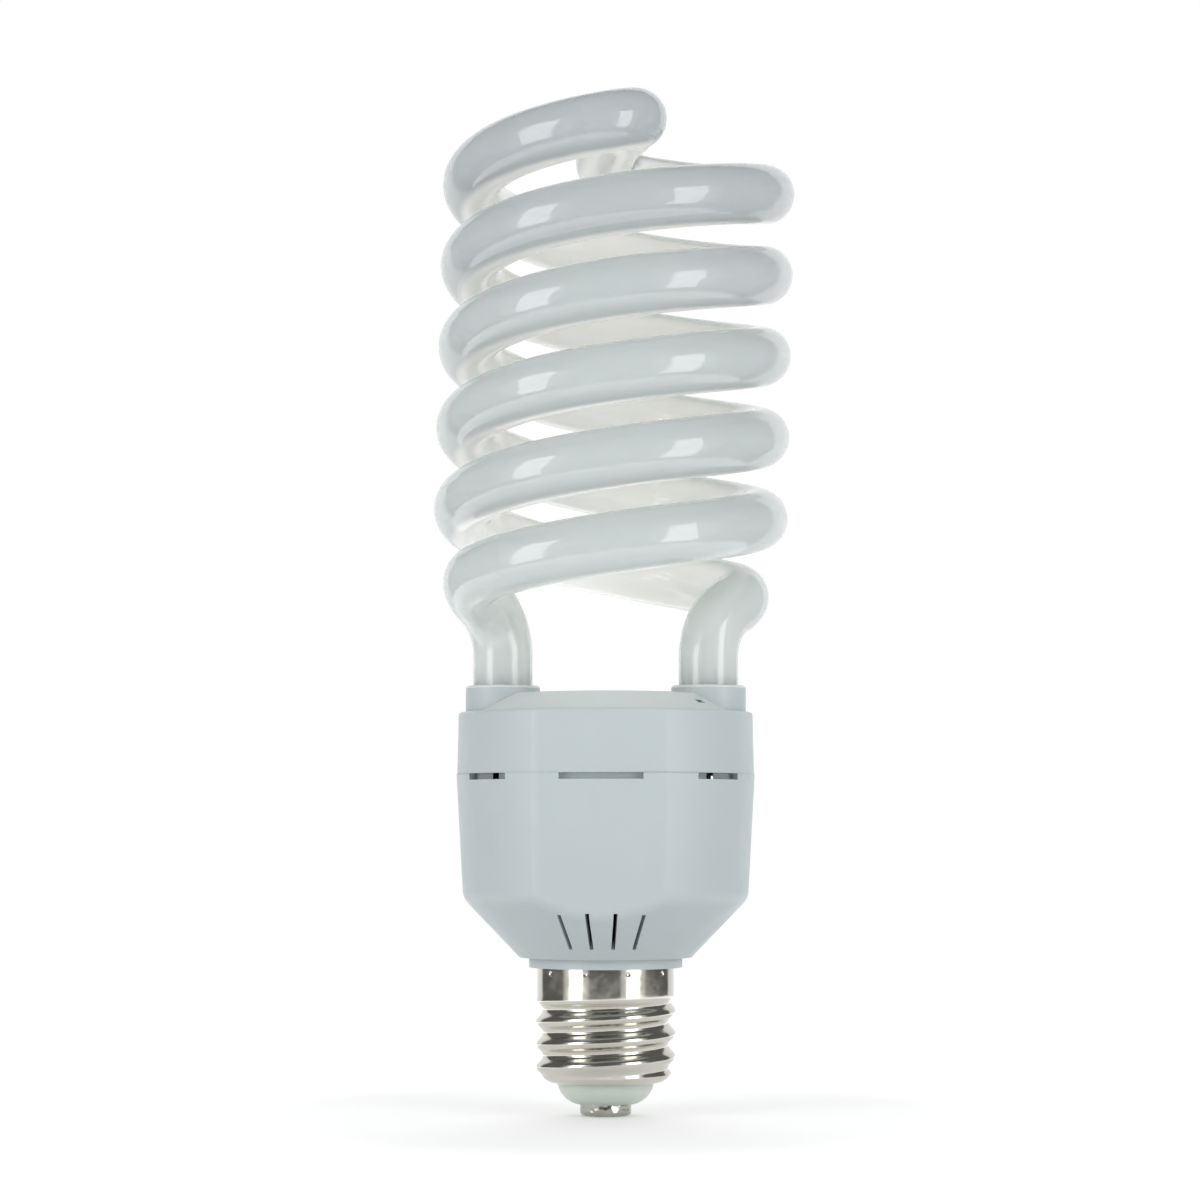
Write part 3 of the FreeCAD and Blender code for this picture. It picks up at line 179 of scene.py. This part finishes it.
class Surface:
    """A material around one Principled shader, with short calls for the nodes that feed it."""

    def __init__(self, name):
        self.material = bpy.data.materials.new(name)
        self.material.use_nodes = True
        self.tree = self.material.node_tree
        self.shader = self.tree.nodes["Principled BSDF"]
        self.place = self.add("ShaderNodeTexCoord").outputs["Object"]

    def add(self, kind):
        return self.tree.nodes.new(kind)

    def join(self, output, socket):
        self.tree.links.new(output, socket)

    def set(self, **sockets):
        """Sets constant sockets of the shader. Underscores stand for spaces in their names."""
        for name, value in sockets.items():
            self.shader.inputs[name.replace("_", " ")].default_value = value

    def feed(self, **outputs):
        """Links node outputs to sockets of the shader, which are named in the same way."""
        for name, output in outputs.items():
            self.join(output, self.shader.inputs[name.replace("_", " ")])

    def vector(self, operation, first, second):
        """Output of a Vector Math node on two outputs, or on an output and a constant vector."""
        node = self.add("ShaderNodeVectorMath")
        node.operation = operation
        self.join(first, node.inputs[0])
        if isinstance(second, tuple):
            node.inputs[1].default_value = second
        else:
            self.join(second, node.inputs[1])
        return node.outputs["Value" if operation in ("DOT_PRODUCT", "DISTANCE") else "Vector"]

    def height(self):
        """Height above the lamp's foot."""
        return self.vector("DOT_PRODUCT", self.place, UP)

    def from_level(self, level):
        """Distance above or below a level."""
        upright = self.vector("MULTIPLY", self.place, UP)
        return self.vector("DISTANCE", upright, (0.0, 0.0, level))

    def normal(self):
        return self.add("ShaderNodeNewGeometry").outputs["Normal"]

    def facing_up(self):
        """1 on level tops and 0 on upright walls."""
        return self.vector("DOT_PRODUCT", self.normal(), UP)

    def facing_out(self):
        """About 1 on the coil's outer side and about -1 on its inner side, and less on the underside."""
        outward = self.vector("MULTIPLY", self.place, (1 / COIL_RADIUS, 1 / COIL_RADIUS, 0.0))
        outward_and_up = self.vector("ADD", outward, (0.0, 0.0, UNDERSIDE_SHARE))
        barely_upward = self.vector("MINIMUM", self.normal(), (1.0, 1.0, UPPER_SIDE_LIMIT))
        return self.vector("DOT_PRODUCT", outward_and_up, barely_upward)

    def noise(self, grain, detail=NOISE_DETAIL):
        """Noise whose features are about one grain across."""
        texture = self.add("ShaderNodeTexNoise")
        texture.inputs["Scale"].default_value = 1 / grain
        texture.inputs["Detail"].default_value = detail
        self.join(self.place, texture.inputs["Vector"])
        return texture.outputs["Fac"]

    def spread(self, output, low, high, start=NOISE_LOW, end=NOISE_HIGH):
        """Maps an output's range from start to end smoothly on to low to high."""
        ranged = self.add("ShaderNodeMapRange")
        ranged.interpolation_type = "SMOOTHSTEP"
        for name, value in (("From Min", start), ("From Max", end), ("To Min", low), ("To Max", high)):
            ranged.inputs[name].default_value = value
        self.join(output, ranged.inputs["Value"])
        return ranged.outputs["Result"]

    def mask(self, output, start, end):
        """0 up to an output's start and 1 from its end on."""
        return self.spread(output, 0.0, 1.0, start, end)

    def tint(self, factor, first, second):
        """Colour between two colours. Either may be an output."""
        mix = self.add("ShaderNodeMix")
        mix.data_type = "RGBA"
        self.join(factor, mix.inputs["Factor"])
        for socket, colour in ((MIX_FIRST, first), (MIX_SECOND, second)):
            self.colour(mix.inputs[socket], colour)
        return mix.outputs[MIX_RESULT]

    def colour(self, socket, colour):
        """Gives one of a Mix node's inputs a colour, as numbers or from an output."""
        if isinstance(colour, tuple):
            socket.default_value = (*colour, 1.0)
        else:
            self.join(colour, socket)

    def mottle(self, grain, darker, lighter):
        """Colour that wanders between two colours."""
        return self.tint(self.noise(grain), darker, lighter)

    def wander(self, grain, low, high):
        """Value that wanders between two values."""
        return self.spread(self.noise(grain), low, high)

    def bump(self, output, depth, strength=1.0):
        """Small relief of a depth in metres."""
        relief = self.add("ShaderNodeBump")
        relief.inputs["Distance"].default_value = depth
        relief.inputs["Strength"].default_value = strength
        self.join(output, relief.inputs["Height"])
        self.feed(Normal=relief.outputs["Normal"])


def coated_glass():
    """Glass with a phosphor coat inside: pale and soft, and bright where light comes through it, with
    painted light on the coil's inner side and underside and painted shade towards the top of the coil.
    """
    surface = Surface("coated_glass")
    height = surface.height()
    up_legs = surface.mask(height, LEG_TOP_FROM, LEG_TOP_TO)
    # Painted shade: this mask makes the coat greyer towards the top of the coil
    up_coil = surface.mask(height, COIL_TOP_FROM, COIL_TOP_TO)
    # Painted light: this mask makes the coat whiter on the coil's inner side and underside
    inner = surface.mask(surface.facing_out(), OUTER_SIDE, INNER_SIDE)
    coat = surface.mottle(COAT_GRAIN, COAT_DARKER, COAT_LIGHTER)
    both_sides = surface.tint(inner, surface.tint(up_coil, coat, COAT_PAINTED_SHADE_AT_TOP), COAT_PAINTED_LIGHT_INNER)
    surface.feed(
        Base_Color=surface.tint(up_legs, COAT_ON_LEGS, both_sides),
        Roughness=surface.wander(GLASS_ROUGHNESS_GRAIN, *GLASS_ROUGHNESS),
    )
    surface.bump(surface.noise(GLASS_WAVE_GRAIN, SMOOTH_DETAIL), GLASS_WAVE_DEPTH)
    surface.set(
        IOR=GLASS_IOR,
        Subsurface_Weight=1.0,
        Subsurface_Radius=COAT_SCATTER_OF_COLOURS,
        Subsurface_Scale=COAT_SCATTER,
    )
    return surface.material


def housing_plastic():
    """Moulded light blue-grey plastic with a fine matt grain, paler on the cover's dome from painted
    light and darker here and there along the seam from painted shade.
    """
    surface = Surface("housing_plastic")
    moulded = surface.mottle(PLASTIC_GRAIN, PLASTIC_DARKER, PLASTIC_LIGHTER)
    # Painted light: these masks make the cover's sloping dome paler
    above_rim = surface.mask(surface.height(), DOME_FROM, DOME_TO)
    sloping = surface.mask(surface.facing_up(), WALL_FACING, DOME_FACING)
    dome = combine(surface.tree, "MULTIPLY", above_rim, sloping)
    # Painted shade: a thin line along the seam, darker here and there
    closeness = surface.mask(surface.from_level(SEAM_HEIGHT), SEAM_WIDTH, 0.0)
    showing = surface.wander(SEAM_GRAIN, *SEAM_SHOWING)
    seam = combine(surface.tree, "MULTIPLY", closeness, showing)
    surface.feed(
        Base_Color=surface.tint(seam, surface.tint(dome, moulded, PLASTIC_PAINTED_LIGHT_ON_DOME), PLASTIC_PAINTED_SHADE_IN_SEAM),
        Roughness=surface.wander(PLASTIC_ROUGHNESS_GRAIN, *PLASTIC_ROUGHNESS),
    )
    surface.bump(surface.noise(PLASTIC_MATT_GRAIN), PLASTIC_MATT_DEPTH, PLASTIC_MATT_STRENGTH)
    return surface.material


def nickel_plate():
    """Plated brass, bright and a little wavy from rolling the thread."""
    surface = Surface("nickel_plate")
    surface.feed(
        Base_Color=surface.mottle(NICKEL_GRAIN, NICKEL_DARKER, NICKEL_LIGHTER),
        Roughness=surface.wander(NICKEL_ROUGHNESS_GRAIN, *NICKEL_ROUGHNESS),
    )
    surface.bump(surface.noise(NICKEL_WAVE_GRAIN), NICKEL_WAVE_DEPTH)
    surface.set(Metallic=1.0)
    return surface.material


def insulator():
    """Pale green-grey glass-like insulator round the contact."""
    surface = Surface("insulator")
    surface.feed(
        Base_Color=surface.mottle(INSULATOR_GRAIN, INSULATOR_DARKER, INSULATOR_LIGHTER),
        Roughness=surface.wander(INSULATOR_ROUGHNESS_GRAIN, *INSULATOR_ROUGHNESS),
    )
    return surface.material


def contact_metal():
    """Plain metal contact, dented and scuffed where it meets a lampholder."""
    surface = Surface("contact_metal")
    surface.feed(
        Base_Color=surface.mottle(CONTACT_GRAIN, CONTACT_DARKER, CONTACT_LIGHTER),
        Roughness=surface.wander(CONTACT_ROUGHNESS_GRAIN, *CONTACT_ROUGHNESS),
    )
    surface.bump(surface.noise(CONTACT_DENT_GRAIN, SMOOTH_DETAIL), CONTACT_DENT_DEPTH)
    surface.set(Metallic=1.0)
    return surface.material


def inner_surface(name, darker, lighter, grain, rough, metallic=0.0):
    """A plain finish of one of the pieces inside the housing."""
    surface = Surface(name)
    pattern = surface.noise(grain)
    surface.feed(
        Base_Color=surface.tint(pattern, darker, lighter),
        Roughness=surface.spread(pattern, rough - INNER_UNEVENNESS, rough + INNER_UNEVENNESS),
    )
    surface.set(Metallic=metallic)
    return surface.material


def every_surface():
    """Materials by the record's slots."""
    surfaces = {
        "coated_glass": coated_glass(),
        "housing_plastic": housing_plastic(),
        "nickel_plate": nickel_plate(),
        "insulator": insulator(),
        "contact_metal": contact_metal(),
    }
    for name, values in INNER_FINISHES.items():
        surfaces[name] = inner_surface(name, *values)
    return surfaces


def dress():
    """Puts each node's material on it, by the record's slots."""
    surfaces = every_surface()
    for entry in frame["record"]["subparts"]:
        node = frame["nodes"][entry["node"]]
        for slot in node.material_slots:
            slot.material = surfaces[entry["material_slot"]]


def around(turn, distance, height):
    """Point round the lamp's axis. No turn is straight in front, and turns go to the right."""
    return Vector((distance * math.sin(turn), -distance * math.cos(turn), height))


def add_camera():
    """Camera at the photograph's viewing angle."""
    data = bpy.data.cameras.new("camera")
    data.lens = LENS_MM
    data.sensor_width = SENSOR_MM
    camera = bpy.data.objects.new("camera", data)
    aside = Vector((math.cos(CAMERA_TURN), math.sin(CAMERA_TURN), 0.0)) * CAMERA_ASIDE
    camera.location = around(CAMERA_TURN, CAMERA_DISTANCE, CAMERA_HEIGHT) + aside
    camera.rotation_euler = (math.pi / 2 + CAMERA_PITCH, 0.0, CAMERA_TURN)
    bpy.context.collection.objects.link(camera)
    bpy.context.scene.camera = camera


def add_light(name, turn, distance, middle, size, radiance):
    """Upright lit panel facing the lamp's axis, with its middle at a height, hidden from the camera."""
    data = bpy.data.lights.new(name, "AREA")
    data.shape = "RECTANGLE"
    data.size, data.size_y = size
    data.energy = radiance * math.pi * data.size * data.size_y
    light = bpy.data.objects.new(name, data)
    light.location = around(turn, distance, middle)
    light.rotation_euler = (math.pi / 2, 0.0, turn)
    light.visible_camera = False
    bpy.context.collection.objects.link(light)
    return light


def add_lights():
    for side, turn in (("left", -SOFTBOX_TURN), ("right", SOFTBOX_TURN)):
        add_light("softbox_" + side, turn, **SOFTBOX)
        add_light("spill_" + side, turn, **SPILL)
    backlight = add_light("backlight", math.pi, **BACKLIGHT)
    backlight.visible_glossy = False


def seen_white(tree):
    """1 for rays that show the floor to the eye: straight, through glass or mirrored."""
    path = tree.nodes.new("ShaderNodeLightPath")
    seen = combine(tree, "MAXIMUM", path.outputs["Is Camera Ray"], path.outputs["Is Glossy Ray"])
    return combine(tree, "MAXIMUM", seen, path.outputs["Is Transmission Ray"])


def floor_white():
    """Pale floor that keeps the lamp's soft shadow and goes white further out."""
    surface = Surface("floor_white")
    away = surface.vector("DISTANCE", surface.place, ORIGIN)
    glow = surface.spread(away, FLOOR_GLOW, WHITE, FLOOR_WHITE_FROM, FLOOR_WHITE_TO)
    surface.feed(
        Base_Color=surface.mottle(FLOOR_GRAIN, FLOOR_DARKER, FLOOR_LIGHTER),
        Emission_Strength=combine(surface.tree, "MULTIPLY", seen_white(surface.tree), glow),
    )
    surface.set(Roughness=FLOOR_ROUGHNESS, Specular_IOR_Level=0.0, Emission_Color=WHITE_COLOUR)
    return surface.material


def add_floor():
    """Round floor just under the contact."""
    turns = [2 * math.pi * corner / FLOOR_CORNERS for corner in range(FLOOR_CORNERS)]
    rim = [around(turn, FLOOR_RADIUS, FLOOR_LEVEL) for turn in turns]
    mesh = bpy.data.meshes.new("floor")
    mesh.from_pydata(rim, [], [range(FLOOR_CORNERS)])
    mesh.materials.append(floor_white())
    floor = bpy.data.objects.new("floor", mesh)
    bpy.context.collection.objects.link(floor)


def mixed(tree, factor, first, second):
    """Shader between two shaders."""
    node = tree.nodes.new("ShaderNodeMixShader")
    for socket, output in enumerate((factor, first, second)):
        tree.links.new(output, node.inputs[socket])
    return node.outputs["Shader"]


def backdrop(tree, strength):
    """Neutral background shader of a world."""
    node = tree.nodes.new("ShaderNodeBackground")
    node.inputs["Color"].default_value = WHITE_COLOUR
    node.inputs["Strength"].default_value = strength
    return node.outputs["Background"]


def behind_lamp(tree):
    """1 for directions to the back of the room and 0 for the others."""
    parts = tree.nodes.new("ShaderNodeSeparateXYZ")
    tree.links.new(tree.nodes.new("ShaderNodeTexCoord").outputs["Generated"], parts.inputs["Vector"])
    behind = tree.nodes.new("ShaderNodeMapRange")
    behind.inputs["From Min"].default_value = BEHIND_FROM
    behind.inputs["From Max"].default_value = BEHIND_TO
    tree.links.new(parts.outputs["Y"], behind.inputs["Value"])
    return behind.outputs["Result"]


def add_room():
    """White background, mirrored too where it is behind the lamp, and a dim room with a soft fill."""
    world = bpy.data.worlds.new("room")
    bpy.context.scene.world = world
    world.use_nodes = True
    tree = world.node_tree
    path = tree.nodes.new("ShaderNodeLightPath")
    mirrored = combine(tree, "MULTIPLY", path.outputs["Is Glossy Ray"], behind_lamp(tree))
    through = combine(tree, "MAXIMUM", path.outputs["Is Transmission Ray"], mirrored)
    seen = combine(tree, "MAXIMUM", path.outputs["Is Camera Ray"], through)
    fill = backdrop(tree, ROOM_FILL)
    dim = backdrop(tree, ROOM_MIRRORED)
    room = mixed(tree, path.outputs["Is Glossy Ray"], fill, dim)
    shown = mixed(tree, seen, room, backdrop(tree, WHITE))
    tree.links.new(shown, tree.nodes["World Output"].inputs["Surface"])


dress()
add_camera()
add_lights()
add_floor()
add_room()
bpy.context.scene.view_settings.view_transform = "Standard"
